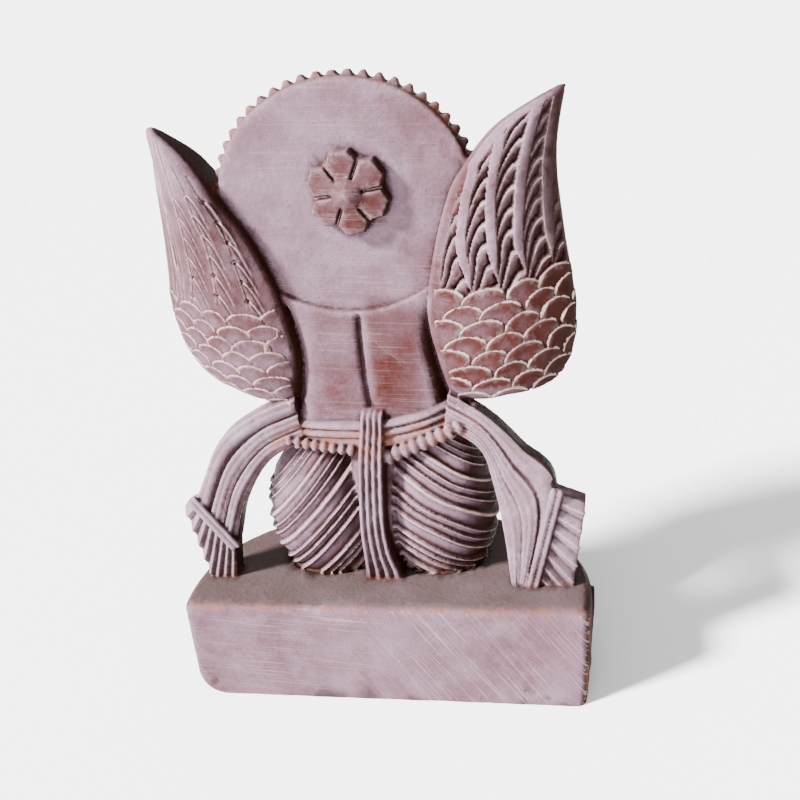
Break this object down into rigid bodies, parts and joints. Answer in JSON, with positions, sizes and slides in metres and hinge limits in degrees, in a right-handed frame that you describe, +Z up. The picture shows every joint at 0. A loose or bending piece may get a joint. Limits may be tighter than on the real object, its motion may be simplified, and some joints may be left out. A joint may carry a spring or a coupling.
{
  "type": "stone garuda statue",
  "caption": "Small soapstone carving of a kneeling winged garuda with a studded disc behind its head, in one with a half-oval plinth.",
  "frame": {"origin": "middle of the plinth's flat underside, half-way along its width, on the plane of the figure's shoulders", "axes": "+Z up, -Y the way the figure faces, +X to the figure's own left"},
  "size_m": [0.1078, 0.0516, 0.1561],
  "materials": {
    "soapstone": "honed, dusty, chalk in the cuts"
  },
  "bodies": {
    "root": {"garuda_statue": "soapstone"}
  },
  "joints": []
}
